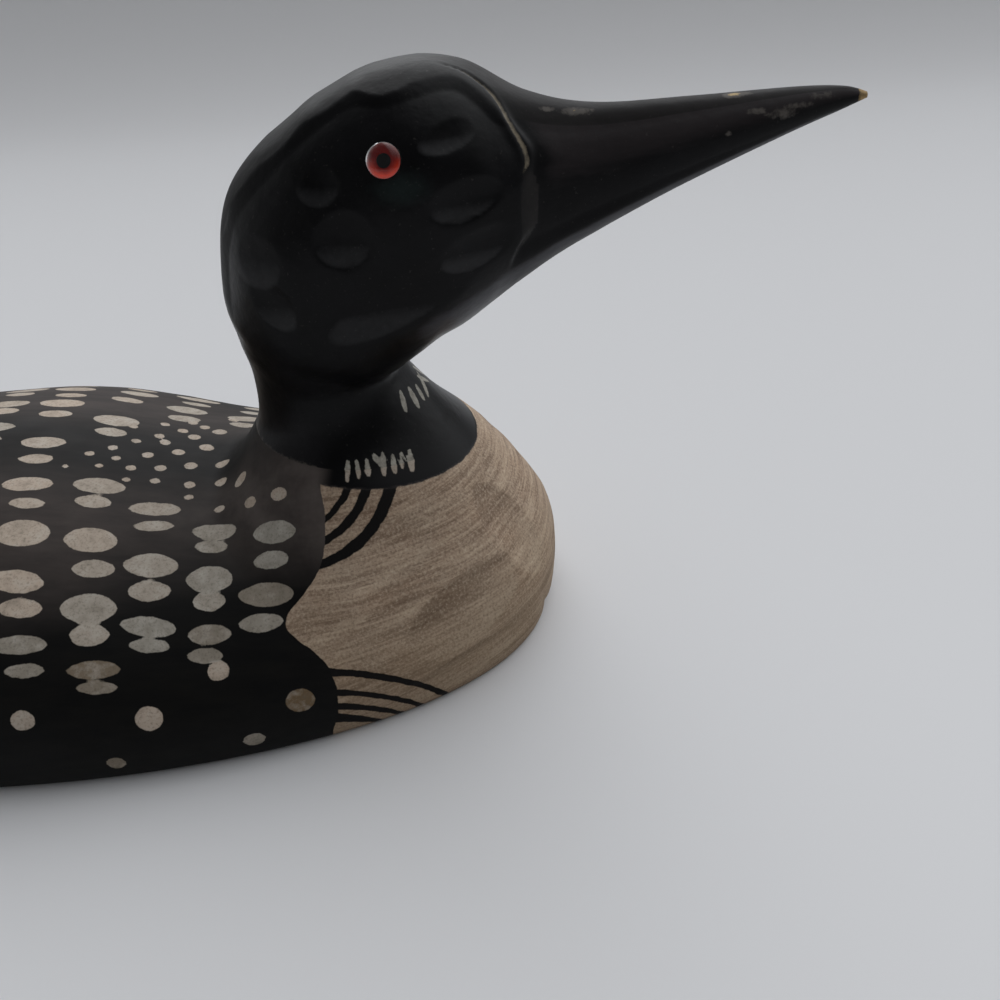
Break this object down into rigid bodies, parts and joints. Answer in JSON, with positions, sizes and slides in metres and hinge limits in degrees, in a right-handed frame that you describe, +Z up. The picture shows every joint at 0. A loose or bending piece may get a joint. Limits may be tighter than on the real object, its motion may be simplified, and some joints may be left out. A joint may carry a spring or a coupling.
{
  "type": "loon decoy",
  "caption": "Carved and painted wooden loon decoy with a flat underside, an upright neck, a long pointed bill and red glass eyes.",
  "frame": {"origin": "middle of the flat underside", "axes": "+X from tail to bill, +Y to the loon's left, +Z up; millimetres in the source, metres in the packed part"},
  "size_m": [0.3202, 0.1406, 0.1384],
  "materials": {
    "body_paint": "hand-painted matt black-brown and tan with pale spots, worn",
    "head_paint": "satin black paint over carved wood, worn at the bill",
    "eye_glass": "clear polished glass over a red iris and a black pupil"
  },
  "bodies": {
    "root": {"body": "body_paint", "head": "head_paint", "eye_right": "eye_glass", "eye_left": "eye_glass"}
  },
  "joints": []
}
